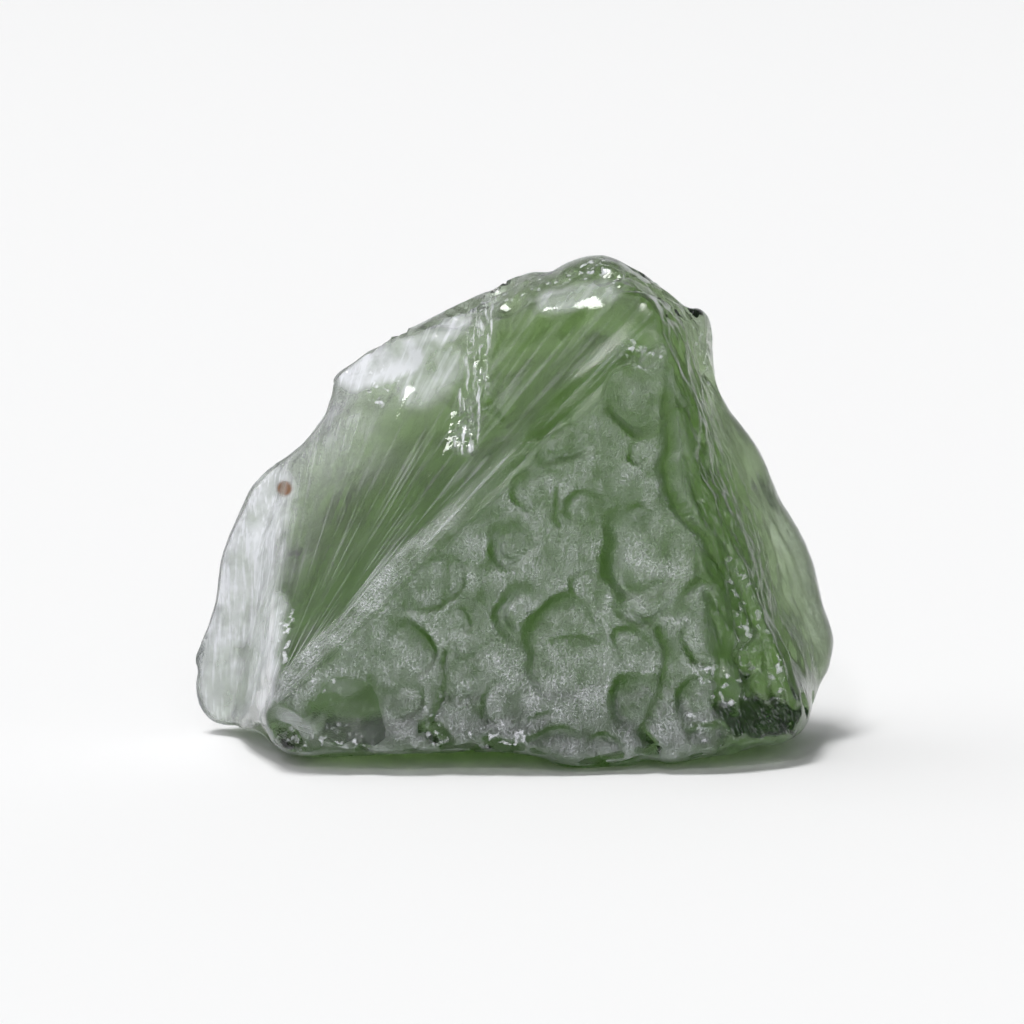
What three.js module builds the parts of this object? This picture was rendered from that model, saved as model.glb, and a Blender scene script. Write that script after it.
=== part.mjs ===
// A raw moldavite: one chip of natural green glass, 18 mm wide, standing on a small flat spot.
// Its front is the old skin, hollowed into cells. A sharp ridge runs across it from the lower left to the top,
// and behind the ridge a smooth conchoidal break slopes away, high on the right and low on the left, to a thin
// shelf along the left edge. The right side is steep, with a thin flange behind it, and the back is a low dome
// covered in shallow scoops.
//
// Lengths are in mm. The shape is laid out on a drawing plane through the middle of the stone, as the eye
// sees it from the front and a little above: x to the right, y up the drawing, and depth towards the eye.
import * as THREE from "three";
import { mergeVertices } from "three/addons/utils/BufferGeometryUtils.js";

// The eye that the drawing plane faces
const EYE_DISTANCE = 160;
const EYE_HEIGHT_DEG = 8;

// The point inside the stone from which its whole surface can be seen, and the half sizes that spread the
// vertices over it, with more of them in front
const HEART = new THREE.Vector3(0.5, -0.5, -1.8);
const HALF_SIZE = new THREE.Vector3(9, 7.2, 4.8);
const MORE_IN_FRONT = new THREE.Vector3(0, 0, 0.35);
const FARTHEST = 14;
const MESH_DETAIL = 21;

// Where the stone's foot is cut flat: the floor's height below the drawing's centre
const FOOT_DROP = 6.61;

// How far each kind of edge is rounded over
const SHARP_EDGE = 0.1;
const STEP_EDGE = 0.25;
const RIM_EDGE = 0.45;
const SCOOP_EDGE = 0.12;

// The outline, clockwise from the left tip
const OUTLINE = [
  [-9.03, -4.06], [-8.63, -3.13], [-8.3, -2.29], [-8.1, -1.36], [-7.88, -0.63], [-7.62, 0.04], [-7.32, 0.69],
  [-6.67, 1.39], [-6.0, 1.92], [-5.46, 2.68], [-5.21, 3.27], [-5.07, 3.8], [-4.56, 4.23], [-3.66, 4.82],
  [-2.88, 5.27], [-2.04, 5.74], [-1.19, 6.11], [-0.35, 6.47], [0.44, 6.73], [1.11, 6.78], [1.56, 7.01],
  [2.18, 7.2], [2.79, 7.15], [3.3, 6.89], [3.86, 6.59], [4.37, 6.19], [4.87, 5.74], [5.29, 5.66],
  [5.6, 5.24], [5.8, 4.11], [5.94, 3.47], [6.28, 2.65], [6.87, 1.73], [7.51, 0.66], [8.07, -0.29],
  [8.41, -1.14], [8.55, -1.92], [8.72, -2.57], [8.97, -3.27], [9.0, -3.75], [8.8, -4.37], [8.58, -4.84],
  [8.47, -5.41], [8.19, -5.94], [7.88, -6.28], [7.4, -6.47], [6.81, -6.53], [6.11, -6.75], [5.27, -6.87],
  [4.48, -7.06], [3.86, -7.01], [3.24, -7.17], [2.32, -7.23], [1.67, -7.17], [1.22, -7.03], [0.8, -6.84],
  [-0.35, -6.73], [-2.04, -6.75], [-3.44, -6.84], [-4.7, -6.81], [-5.97, -6.78], [-6.67, -6.53],
  [-7.09, -6.16], [-7.79, -6.05], [-8.44, -5.94], [-8.8, -5.52], [-8.94, -4.96], [-8.92, -4.51],
];
const OUTLINE_STEPS = 1440;

// The rim is widest at one depth and draws in before and behind it. Towards the foot that depth comes forward.
const RIM_DEPTH = -1.5;
const RIM_FORWARD_AT_FOOT = 4;
const RIM_FORWARD_FROM = -4;
const RIM_FORWARD_HEIGHT = 3;
const RIM_FORWARD_BESIDE = [-8.2, -6.8];
const RIM_BULGE = 0.035;

// Each facet falls away towards the compass direction across (degrees in the drawing, 0 to the right and 90
// up) at a slope, and has the given depth at the distance reach from the centre.
const SKIN = { across: 77, slope: 7.6, reach: 0, depth: 3.3 };
const RIGHT_BAND = { across: 19.2, slope: 32, reach: 5.1, depth: 2.93 };
const RIDGE_BEVEL = { across: 122.6, slope: 27.8, reach: 0.79, depth: 3.23 };
const LOW_BREAK = { across: 129, slope: 46.6, reach: 1.44, depth: 2.9 };
const HIGH_BREAK = { across: 125, slope: 36, reach: 1.44, depth: 2.9 };
const STEP = { across: 178, slope: 48, reach: 1, depth: 1.5 };
const TOP_BEVEL = { across: 114.7, slope: 62, reach: 4.78, depth: 1.09 };
const LEFT_WALL = { across: 168.9, slope: 80, reach: 5.74, depth: 3.4 };
const LEFT_SHELF = { across: 172, slope: 14, reach: 6.6, depth: -1.7 };
const LOWER_LEFT_BEVEL = { across: 229, slope: 38, reach: 8.3, depth: 4.2 };
const RIGHT_SIDE = { across: 19.2, slope: 78.5, reach: 6.46, depth: -1 };
const RIGHT_FLANGE = { across: 19.2, slope: 40, reach: 6.46, depth: -0.9 };
const BACKS = [
  { across: 90, slope: 3, reach: 0, depth: -4.3 },
  { across: 80, slope: 15, reach: 1.5, depth: -4.3 },
  { across: 160, slope: 22, reach: 3, depth: -4.3 },
  { across: 0, slope: 16, reach: 4, depth: -4.3 },
  { across: 270, slope: 25, reach: 4, depth: -4.3 },
];

// The cells of the skin, older ones first: the centre on the drawing, the half width and half height, the
// depth, and the direction of the side that is hollowed most
const CELLS = [
  { at: [1.42, 1.84], half: [0.93, 0.62], depth: 0.22, side: 262 },
  { at: [0.8, 0.66], half: [0.84, 0.62], depth: 0.12, side: 180 },
  { at: [2.18, -0.01], half: [0.67, 0.56], depth: 0.13, side: 130 },
  { at: [-0.13, -0.88], half: [0.73, 0.73], depth: 0.3, side: 205 },
  { at: [3.55, 1.84], half: [0.42, 0.42], depth: 0.13, side: 230 },
  { at: [-2.15, -2.06], half: [0.84, 0.79], depth: 0.17, side: 285 },
  { at: [-1.7, -2.01], half: [0.39, 0.7], depth: 0.15, side: 300 },
  { at: [-1.39, -3.22], half: [0.39, 0.45], depth: 0.13, side: 10 },
  { at: [-2.93, -3.83], half: [0.76, 0.95], depth: 0.16, side: 20 },
  { at: [-1.42, -4.87], half: [0.62, 0.67], depth: 0.2, side: 275 },
  { at: [-1.31, -4.03], half: [0.45, 0.31], depth: 0.14, side: 270 },
  { at: [0.29, -2.82], half: [0.73, 0.95], depth: 0.28, side: 172 },
  { at: [1.5, -3.89], half: [1.29, 1.57], depth: 0.24, side: 125 },
  { at: [3.38, -3.75], half: [0.62, 0.67], depth: 0.12, side: 120 },
  { at: [3.75, -1.17], half: [1.43, 1.63], depth: 0.45, side: 190 },
  { at: [3.64, 0.04], half: [0.39, 0.34], depth: 0.14, side: 90 },
  { at: [4, -2.57], half: [1.18, 0.56], depth: 0.26, side: 245 },
  { at: [3.44, -5.21], half: [0.84, 0.84], depth: 0.32, side: 150 },
  { at: [5.41, -2.63], half: [0.79, 0.73], depth: 0.18, side: 95 },
  { at: [5.49, -3.75], half: [0.84, 0.73], depth: 0.14, side: 220 },
  { at: [1.14, -6.47], half: [0.9, 0.45], depth: 0.24, side: 90 },
  { at: [2.63, -6.56], half: [0.56, 0.34], depth: 0.22, side: 90 },
  { at: [0.86, -5.77], half: [0.34, 0.25], depth: 0.12, side: 90 },
  { at: [3.47, 3.24], half: [0.95, 1.12], depth: 0.36, side: 262 },
  { at: [5.04, 3.58], half: [0.73, 0.95], depth: 0.26, side: 255 },
  { at: [4, 4.48], half: [0.45, 0.39], depth: 0.2, side: 140 },
  { at: [-3.16, -5.29], half: [0.73, 0.62], depth: 0.12, side: 330 },
  { at: [-0.35, -5.29], half: [0.56, 0.73], depth: 0.12, side: 200 },
  { at: [5.27, -5.29], half: [0.79, 0.67], depth: 0.22, side: 160 },
  { at: [5.77, -6.36], half: [0.84, 0.34], depth: 0.26, side: 95 },
  { at: [2.18, -2.2], half: [0.67, 0.45], depth: 0.1, side: 200 },
  { at: [2.96, 4.48], half: [0.39, 0.39], depth: 0.16, side: 150 },
];
// A cell's wall, as a run for each mm of depth, and how deep its middle and its shallow side are
const CELL_WALL_RUN = 1.1;
const CELL_MIDDLE = 0.3;
const CELL_DOME = 0.22;
const CELL_SHALLOW_SIDE = 0.15;
// The waves that push the cells out of round
const CELL_WAVES = [
  { number: 1.9, size: 0.12, start: 0.6 },
  { number: 4.3, size: 0.05, start: 2.2 },
  { number: 7.7, size: 0.022, start: 4.1 },
];

// The grooves of the skin: the half width, the depth and the places they run through
const GROOVES = [
  {
    half: 0.34,
    depth: 0.34,
    path: [[4.37, 3.19], [4.25, 2.01], [4.48, 0.6], [4.98, -0.38], [5.6, -1.36], [6.33, -2.2], [7.01, -2.88]],
  },
  { half: 0.22, depth: 0.16, path: [[5.1, 3.07], [5.24, 1.73], [5.41, 0.32]] },
  { half: 0.22, depth: 0.2, path: [[4.2, -3.27], [4.25, -4.31], [4, -5.29], [3.75, -6.36]] },
];

// The main streaks of the break fan out from one corner: radians of wave to a radian of fan, and their height
// to a mm of distance from the corner
const FAN_CORNER = [-7.03, -5.74];
const FAN_WAVE = { number: 31, rise: 0.006 };

// Chips broken out of the front, as balls that bite into the surface: the place on the drawing, the ball's
// radius and how deep it bites
const CHIPS = [
  { at: [-4.5, -5.6], radius: 1.5, bite: 0.3 },
  { at: [-6, -6], radius: 1.2, bite: 0.35 },
  { at: [6.89, -4.23], radius: 0.85, bite: 0.42 },
  { at: [7.12, -5.18], radius: 0.95, bite: 0.5 },
  { at: [5.88, -5.3], radius: 0.5, bite: 0.14 },
  { at: [-2.12, -6.2], radius: 0.6, bite: 0.22 },
  { at: [-0.35, -6.4], radius: 0.7, bite: 0.22 },
  { at: [1.3, 6.3], radius: 0.9, bite: 0.25 },
  { at: [0.1, 5.9], radius: 0.7, bite: 0.2 },
  { at: [2.6, 6.6], radius: 0.6, bite: 0.2 },
  { at: [-1.5, 5.5], radius: 0.8, bite: 0.16 },
  { at: [5.6, 3.4], radius: 0.7, bite: 0.2 },
];

// The scoops of the back, spread by the golden angle, and the waves that push scoops and chips out of round
const SCOOP_PLACES = 110;
const SCOOP_RADIUS = [0.9, 2.4];
const SCOOP_BITE = 0.06;
const SCOOPS_BEHIND = -0.12;
const SCOOP_WAVES = [
  { number: 1.3, size: 0.16, start: 1.1 },
  { number: 3.1, size: 0.09, start: 0.4 },
  { number: 6.3, size: 0.04, start: 2 },
];
const GOLDEN_ANGLE = Math.PI * (3 - Math.sqrt(5));
const GOLDEN_STEP = 0.618034;

// Gentle swells of the whole surface: the wave's direction and number in radians a mm, its start and its height
const SWELLS = [
  { wave: [0.9, 0.5, 0.3], start: 0.4, height: 0.07 },
  { wave: [-0.6, 1.1, 0.7], start: 2.1, height: 0.06 },
  { wave: [1.7, -1.3, 0.9], start: 4, height: 0.035 },
  { wave: [0.4, 1.9, -1.6], start: 1.2, height: 0.035 },
];

const { cos, sin, hypot, atan2, abs, max, min, sqrt, PI } = Math;
const radians = THREE.MathUtils.degToRad;
const mix = THREE.MathUtils.lerp;
const smoothstep = THREE.MathUtils.smoothstep;

// The larger of a and b, rounded over where they are within width of each other
function smoothMax(a, b, width) {
  const near = max(width - abs(a - b), 0) / width;
  return max(a, b) + (near * near * width) / 4;
}

function smoothMin(a, b, width) {
  return -smoothMax(-a, -b, width);
}

// The outline's distance from the heart for each step of a full turn
function outlineReach() {
  const points = OUTLINE.map(([x, y]) => new THREE.Vector3(x, y, 0));
  const curve = new THREE.CatmullRomCurve3(points, true, "catmullrom", 0.5);
  const turns = curve.getPoints(OUTLINE.length * 12).map((p) => {
    const x = p.x - HEART.x;
    const y = p.y - HEART.y;
    return { angle: atan2(y, x), reach: hypot(x, y) };
  });
  turns.sort((a, b) => a.angle - b.angle);
  const table = [];
  let next = 0;
  for (let step = 0; step <= OUTLINE_STEPS; step += 1) {
    const angle = -PI + (2 * PI * step) / OUTLINE_STEPS;
    while (next < turns.length && turns[next].angle < angle) next += 1;
    const after = turns[next % turns.length];
    const before = turns[(next + turns.length - 1) % turns.length];
    const span = (after.angle - before.angle + 2 * PI) % (2 * PI) || 1;
    const share = ((angle - before.angle + 2 * PI) % (2 * PI)) / span;
    table.push(mix(before.reach, after.reach, min(share, 1)));
  }
  return table;
}
const REACH_TABLE = outlineReach();

function outlineAt(angle) {
  const place = ((angle + PI) / (2 * PI)) * OUTLINE_STEPS;
  const step = min(Math.floor(place), OUTLINE_STEPS - 1);
  return mix(REACH_TABLE[step], REACH_TABLE[step + 1], place - step);
}

// How far the point (x, y, depth) lies outside a facet that faces the eye (facing 1) or away from it (-1)
function outsideFacet(facet, x, y, depth, facing = 1) {
  const slope = radians(facet.slope);
  const across = radians(facet.across);
  const out = x * cos(across) + y * sin(across) - facet.reach;
  return out * sin(slope) + facing * (depth - facet.depth) * cos(slope);
}

// A place pushed about in waves, so that round shapes come out uneven
function waved(x, y, waves) {
  let place = [x, y];
  for (const { number, size, start } of waves) {
    const [wasX, wasY] = place;
    place = [wasX + size * sin(number * wasY + start), wasY + size * sin(number * wasX + 2 * start)];
  }
  return place;
}

function distanceToPath(x, y, path) {
  let nearest = Infinity;
  for (let i = 1; i < path.length; i += 1) {
    const [fromX, fromY] = path[i - 1];
    const along = [path[i][0] - fromX, path[i][1] - fromY];
    const share = ((x - fromX) * along[0] + (y - fromY) * along[1]) / (along[0] ** 2 + along[1] ** 2);
    const on = min(max(share, 0), 1);
    nearest = min(nearest, hypot(x - fromX - on * along[0], y - fromY - on * along[1]));
  }
  return nearest;
}

// How deep the skin is hollowed at a place on the drawing. A newer cell replaces what it overlaps.
function skinRelief(drawnX, drawnY) {
  const [x, y] = waved(drawnX, drawnY, CELL_WAVES);
  let deep = 0;
  for (const { at, half, depth, side } of CELLS) {
    const across = (x - at[0]) / half[0];
    const up = (y - at[1]) / half[1];
    const out = hypot(across, up);
    if (out >= 1) continue;
    const turn = 0.5 + 0.5 * cos(atan2(up, across) - radians(side));
    const strength = mix(CELL_SHALLOW_SIDE, 1, turn * turn);
    const wall = min(max((depth * CELL_WALL_RUN) / min(half[0], half[1]), 0.1), 0.5);
    const band = smoothstep(out, 0.35, 1 - wall);
    const middle = CELL_MIDDLE - CELL_DOME * (1 - out * out);
    deep = mix(deep, depth * mix(middle, 1, strength * band), 1 - smoothstep(out, 1 - wall, 1));
  }
  for (const { half, depth, path } of GROOVES) {
    deep = max(deep, depth * (1 - smoothstep(distanceToPath(x, y, path), 0, half)));
  }
  return deep;
}

// How deep the streaks of the break are: sharp crests that fan out from the corner
function fanRelief(x, y) {
  const dx = x - FAN_CORNER[0];
  const dy = y - FAN_CORNER[1];
  const reach = hypot(dx, dy);
  return FAN_WAVE.rise * reach * abs(sin((FAN_WAVE.number * atan2(dy, dx)) / 2 + 0.25 * sin(0.9 * reach)));
}

function swell(x, y, depth) {
  let sum = 0;
  for (const { wave, start, height } of SWELLS) {
    sum += height * sin(wave[0] * x + wave[1] * y + wave[2] * depth + start);
  }
  return sum;
}

// How far the point lies outside the rim
function outsideRim(x, y, depth) {
  const ahead = min(max((RIM_FORWARD_FROM - y) / RIM_FORWARD_HEIGHT, 0), 1);
  const widest = RIM_DEPTH + RIM_FORWARD_AT_FOOT * ahead * smoothstep(x, ...RIM_FORWARD_BESIDE);
  const fromHeart = hypot(x - HEART.x, y - HEART.y);
  const reach = outlineAt(atan2(y - HEART.y, x - HEART.x));
  return fromHeart - reach + RIM_BULGE * (depth - widest) ** 2;
}

// How far the point lies outside the stone before any scoop is taken from it: negative inside
function outsideBlank(p) {
  const toDrawing = EYE_DISTANCE / (EYE_DISTANCE - p.z);
  const x = p.x * toDrawing;
  const y = p.y * toDrawing;
  const outside = (facet) => outsideFacet(facet, x, y, p.z);
  const skin = smoothMax(outside(SKIN) + skinRelief(x, y), outside(RIGHT_BAND), STEP_EDGE);

  const high = smoothMax(outside(HIGH_BREAK), outside(STEP), SHARP_EDGE);
  let broken = smoothMin(high, outside(LOW_BREAK), STEP_EDGE);
  broken = smoothMax(broken, outside(TOP_BEVEL), STEP_EDGE);
  broken = smoothMax(broken, smoothMin(outside(LEFT_WALL), outside(LEFT_SHELF), RIM_EDGE), STEP_EDGE);
  broken = smoothMax(broken, outside(RIDGE_BEVEL), SHARP_EDGE) + fanRelief(x, y);

  let front = smoothMax(skin, broken, SHARP_EDGE);
  front = smoothMax(front, outside(LOWER_LEFT_BEVEL), SHARP_EDGE);
  front = smoothMax(front, smoothMin(outside(RIGHT_SIDE), outside(RIGHT_FLANGE), STEP_EDGE), STEP_EDGE);

  const backs = BACKS.map((facet) => outsideFacet(facet, x, y, p.z, -1));
  const back = backs.reduce((a, b) => smoothMax(a, b, RIM_EDGE));
  const body = smoothMax(smoothMax(front, back, SHARP_EDGE), outsideRim(x, y, p.z), RIM_EDGE);
  return body + swell(p.x, p.y, p.z);
}

// How far the point lies below the flat foot
function belowFoot(p) {
  const lean = radians(EYE_HEIGHT_DEG);
  return -(p.y * cos(lean) + p.z * sin(lean)) - FOOT_DROP;
}

// The distance along a ray at which a shape ends
function rayEnd(outside, start, direction, farthest) {
  const p = new THREE.Vector3();
  let low = 0;
  let high = farthest;
  for (let halving = 0; halving < 36; halving += 1) {
    const middle = (low + high) / 2;
    p.copy(start).addScaledVector(direction, middle);
    if (outside(p) < 0) low = middle;
    else high = middle;
  }
  return (low + high) / 2;
}

// The ball that bites into the blank at a point of its surface
function biteAt(p, radius, bite) {
  const step = 0.05;
  const slopeAlong = (axis) => {
    const ahead = p.clone().addScaledVector(axis, step);
    const behind = p.clone().addScaledVector(axis, -step);
    return outsideBlank(ahead) - outsideBlank(behind);
  };
  const axes = [new THREE.Vector3(1, 0, 0), new THREE.Vector3(0, 1, 0), new THREE.Vector3(0, 0, 1)];
  const facing = new THREE.Vector3(...axes.map(slopeAlong)).normalize();
  return { centre: p.clone().addScaledVector(facing, radius - bite), radius };
}

function frontChips() {
  const forward = new THREE.Vector3(0, 0, 1);
  return CHIPS.map(({ at, radius, bite }) => {
    const start = new THREE.Vector3(at[0], at[1], HEART.z - 1);
    return biteAt(start.addScaledVector(forward, rayEnd(outsideBlank, start, forward, FARTHEST)), radius, bite);
  });
}

function scatteredScoops() {
  const scoops = [];
  for (let place = 0; place < SCOOP_PLACES; place += 1) {
    const towardsEye = 1 - (2 * place + 1) / SCOOP_PLACES;
    const ring = sqrt(1 - towardsEye ** 2);
    const turn = place * GOLDEN_ANGLE;
    if (towardsEye > SCOOPS_BEHIND) continue;
    const direction = new THREE.Vector3(ring * cos(turn), ring * sin(turn), towardsEye);
    direction.multiply(HALF_SIZE).normalize();
    const p = HEART.clone().addScaledVector(direction, rayEnd(outsideBlank, HEART, direction, FARTHEST));
    const share = (place * GOLDEN_STEP) % 1;
    const radius = mix(SCOOP_RADIUS[0], SCOOP_RADIUS[1], share * share);
    scoops.push(biteAt(p, radius, SCOOP_BITE * radius));
  }
  return scoops;
}
const BALLS = [...frontChips(), ...scatteredScoops()];

// How far a point lies inside the nearest of the balls
function insideBalls(p) {
  return max(...BALLS.map(({ centre, radius }) => radius - p.distanceTo(centre)));
}

// How far the point lies outside the finished stone
function outsideStone(p) {
  const uneven = new THREE.Vector3(...waved(p.x, p.y, SCOOP_WAVES), p.z);
  return max(smoothMax(outsideBlank(p), insideBalls(uneven), SCOOP_EDGE), belowFoot(p));
}

// A ball of triangles drawn out along rays from the heart to the surface, then stood upright with its foot on
// the floor and centred over the origin
function stoneGeometry() {
  const ball = new THREE.IcosahedronGeometry(1, MESH_DETAIL);
  ball.deleteAttribute("normal");
  ball.deleteAttribute("uv");
  const geometry = mergeVertices(ball, 1e-5);
  const place = geometry.getAttribute("position");
  const direction = new THREE.Vector3();
  for (let i = 0; i < place.count; i += 1) {
    direction.fromBufferAttribute(place, i).add(MORE_IN_FRONT).multiply(HALF_SIZE).normalize();
    direction.multiplyScalar(rayEnd(outsideStone, HEART, direction, FARTHEST)).add(HEART);
    place.setXYZ(i, direction.x, direction.y, direction.z);
  }
  geometry.rotateX(PI / 2 - radians(EYE_HEIGHT_DEG));
  geometry.computeBoundingBox();
  const box = geometry.boundingBox;
  geometry.translate(-(box.min.x + box.max.x) / 2, -(box.min.y + box.max.y) / 2, -box.min.z);
  return geometry;
}

const glass = new THREE.MeshStandardMaterial({ color: 0x7f9a6c, roughness: 0.25, metalness: 0 });
const moldavite = new THREE.Mesh(stoneGeometry(), glass);
moldavite.name = "moldavite";

const part = new THREE.Group();
part.add(moldavite);
export default part;
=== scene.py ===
# The looks of a raw moldavite: one chip of green natural glass, frosted and pitted on its old skin and glossy
# on its fresh breaks. The surface is drawn out along rays from the heart of the stone, as its plain solid is,
# from the same named values, and carries finer relief. Lengths are in mm until the mesh is made.
import math
from types import SimpleNamespace

import bpy
import numpy as np
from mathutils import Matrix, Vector, noise


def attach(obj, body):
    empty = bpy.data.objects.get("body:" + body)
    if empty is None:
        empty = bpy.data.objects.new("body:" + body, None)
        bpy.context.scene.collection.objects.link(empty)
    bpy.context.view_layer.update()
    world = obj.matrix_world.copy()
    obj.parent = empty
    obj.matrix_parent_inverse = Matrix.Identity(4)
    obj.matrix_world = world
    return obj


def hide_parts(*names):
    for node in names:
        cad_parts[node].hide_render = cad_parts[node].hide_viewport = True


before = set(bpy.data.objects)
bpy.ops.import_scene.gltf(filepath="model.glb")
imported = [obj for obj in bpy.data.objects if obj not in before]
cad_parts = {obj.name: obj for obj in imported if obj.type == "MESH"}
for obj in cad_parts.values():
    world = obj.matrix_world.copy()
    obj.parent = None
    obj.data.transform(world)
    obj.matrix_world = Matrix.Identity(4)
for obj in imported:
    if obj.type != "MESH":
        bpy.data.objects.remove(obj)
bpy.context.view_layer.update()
MM = 0.001

# The eye that the drawing plane faces, which is also the camera, and the width of what it sees there
EYE_DISTANCE = 160.0
EYE_HEIGHT_DEG = 8.0
VIEW_WIDTH = 28.755
SENSOR_MM = 36.0

# The point inside the stone from which its whole surface can be seen, and the half sizes that spread the
# vertices over it, with more of them in front
HEART = np.array([0.5, -0.5, -1.8])
HALF_SIZE = np.array([9.0, 7.2, 4.8])
MORE_IN_FRONT = 0.35
FARTHEST = 14.0
MESH_DETAIL = 98
HALVINGS = 20

FOOT_DROP = 6.61
SHARP_EDGE = 0.1
STEP_EDGE = 0.25
RIM_EDGE = 0.45
SCOOP_EDGE = 0.12

# The outline, clockwise from the left tip
OUTLINE = np.array([
    [-9.03, -4.06], [-8.63, -3.13], [-8.3, -2.29], [-8.1, -1.36], [-7.88, -0.63], [-7.62, 0.04],
    [-7.32, 0.69], [-6.67, 1.39], [-6.0, 1.92], [-5.46, 2.68], [-5.21, 3.27], [-5.07, 3.8],
    [-4.56, 4.23], [-3.66, 4.82],
    [-2.88, 5.27], [-2.04, 5.74], [-1.19, 6.11], [-0.35, 6.47], [0.44, 6.73], [1.11, 6.78], [1.56, 7.01],
    [2.18, 7.2], [2.79, 7.15], [3.3, 6.89], [3.86, 6.59], [4.37, 6.19], [4.87, 5.74], [5.29, 5.66],
    [5.6, 5.24], [5.8, 4.11], [5.94, 3.47], [6.28, 2.65], [6.87, 1.73], [7.51, 0.66], [8.07, -0.29],
    [8.41, -1.14], [8.55, -1.92], [8.72, -2.57], [8.97, -3.27], [9.0, -3.75], [8.8, -4.37], [8.58, -4.84],
    [8.47, -5.41], [8.19, -5.94], [7.88, -6.28], [7.4, -6.47], [6.81, -6.53], [6.11, -6.75], [5.27, -6.87],
    [4.48, -7.06], [3.86, -7.01], [3.24, -7.17], [2.32, -7.23], [1.67, -7.17], [1.22, -7.03], [0.8, -6.84],
    [-0.35, -6.73], [-2.04, -6.75], [-3.44, -6.84], [-4.7, -6.81], [-5.97, -6.78], [-6.67, -6.53],
    [-7.09, -6.16], [-7.79, -6.05], [-8.44, -5.94], [-8.8, -5.52], [-8.94, -4.96], [-8.92, -4.51],
])
STEPS_PER_POINT = 12

RIM_DEPTH = -1.5
RIM_FORWARD_AT_FOOT = 4.0
RIM_FORWARD_FROM = -4.0
RIM_FORWARD_HEIGHT = 3.0
RIM_FORWARD_BESIDE = (-8.2, -6.8)
RIM_BULGE = 0.035

# Each facet: the compass direction in the drawing in which it falls away, its slope, and its depth at a reach
SKIN = (77, 7.6, 0, 3.3)
RIGHT_BAND = (19.2, 32, 5.1, 2.93)
RIDGE_BEVEL = (122.6, 27.8, 0.79, 3.23)
LOW_BREAK = (129, 46.6, 1.44, 2.9)
HIGH_BREAK = (125, 36, 1.44, 2.9)
STEP = (178, 48, 1.0, 1.5)
TOP_BEVEL = (114.7, 62, 4.78, 1.09)
LEFT_WALL = (168.9, 80, 5.74, 3.4)
LEFT_SHELF = (172, 14, 6.6, -1.7)
LOWER_LEFT_BEVEL = (229, 38, 8.3, 4.2)
RIGHT_SIDE = (19.2, 78.5, 6.46, -1)
RIGHT_FLANGE = (19.2, 40, 6.46, -0.9)
BACKS = [(90, 3, 0, -4.3), (80, 15, 1.5, -4.3), (160, 22, 3, -4.3), (0, 16, 4, -4.3), (270, 25, 4, -4.3)]

# The cells of the skin, older ones first: the centre on the drawing, the half width and half height, the
# depth, and the direction of the side that is hollowed most and carries the most painted shade
CELLS = [
    (1.42, 1.84, 0.93, 0.62, 0.22, 262),
    (0.80, 0.66, 0.84, 0.62, 0.12, 180),
    (2.18, -0.01, 0.67, 0.56, 0.13, 130),
    (-0.13, -0.88, 0.73, 0.73, 0.30, 205),
    (3.55, 1.84, 0.42, 0.42, 0.13, 230),
    (-2.15, -2.06, 0.84, 0.79, 0.17, 285),
    (-1.70, -2.01, 0.39, 0.70, 0.15, 300),
    (-1.39, -3.22, 0.39, 0.45, 0.13, 10),
    (-2.93, -3.83, 0.76, 0.95, 0.16, 20),
    (-1.42, -4.87, 0.62, 0.67, 0.20, 275),
    (-1.31, -4.03, 0.45, 0.31, 0.14, 270),
    (0.29, -2.82, 0.73, 0.95, 0.28, 172),
    (1.50, -3.89, 1.29, 1.57, 0.24, 125),
    (3.38, -3.75, 0.62, 0.67, 0.12, 120),
    (3.75, -1.17, 1.43, 1.63, 0.45, 190),
    (3.64, 0.04, 0.39, 0.34, 0.14, 90),
    (4.00, -2.57, 1.18, 0.56, 0.26, 245),
    (3.44, -5.21, 0.84, 0.84, 0.32, 150),
    (5.41, -2.63, 0.79, 0.73, 0.18, 95),
    (5.49, -3.75, 0.84, 0.73, 0.14, 220),
    (1.14, -6.47, 0.90, 0.45, 0.24, 90),
    (2.63, -6.56, 0.56, 0.34, 0.22, 90),
    (0.86, -5.77, 0.34, 0.25, 0.12, 90),
    (3.47, 3.24, 0.95, 1.12, 0.36, 262),
    (5.04, 3.58, 0.73, 0.95, 0.26, 255),
    (4.00, 4.48, 0.45, 0.39, 0.20, 140),
    (-3.16, -5.29, 0.73, 0.62, 0.12, 330),
    (-0.35, -5.29, 0.56, 0.73, 0.12, 200),
    (5.27, -5.29, 0.79, 0.67, 0.22, 160),
    (5.77, -6.36, 0.84, 0.34, 0.26, 95),
    (2.18, -2.20, 0.67, 0.45, 0.10, 200),
    (2.96, 4.48, 0.39, 0.39, 0.16, 150),
]
# A cell's wall, as a run for each mm of depth, and how deep its middle and its shallow side are
CELL_WALL_RUN = 1.1
CELL_MIDDLE = 0.3
CELL_DOME = 0.22
CELL_SHALLOW_SIDE = 0.15
# The waves that push the cells out of round: radians a mm, size and start
CELL_WAVES = [(1.9, 0.12, 0.6), (4.3, 0.05, 2.2), (7.7, 0.022, 4.1)]

# The grooves of the skin: the half width, the depth and the places they run through. They carry painted shade
GROOVES = [
    (0.34, 0.34, [(4.37, 3.19), (4.25, 2.01), (4.48, 0.60), (4.98, -0.38), (5.60, -1.36), (6.33, -2.20),
                  (7.01, -2.88)]),
    (0.22, 0.16, [(5.10, 3.07), (5.24, 1.73), (5.41, 0.32)]),
    (0.22, 0.20, [(4.20, -3.27), (4.25, -4.31), (4.00, -5.29), (3.75, -6.36)]),
    (0.14, 0.16, [(-2.01, -4.03), (-2.04, -5.29), (-2.26, -6.28)]),
    (0.11, 0.10, [(1.33, 0.60), (1.31, -0.52)]),
    (0.11, 0.07, [(1.11, -3.66), (2.40, -3.64)]),
    (0.10, 0.07, [(-1.84, -1.36), (-1.87, -2.77)]),
]

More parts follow.
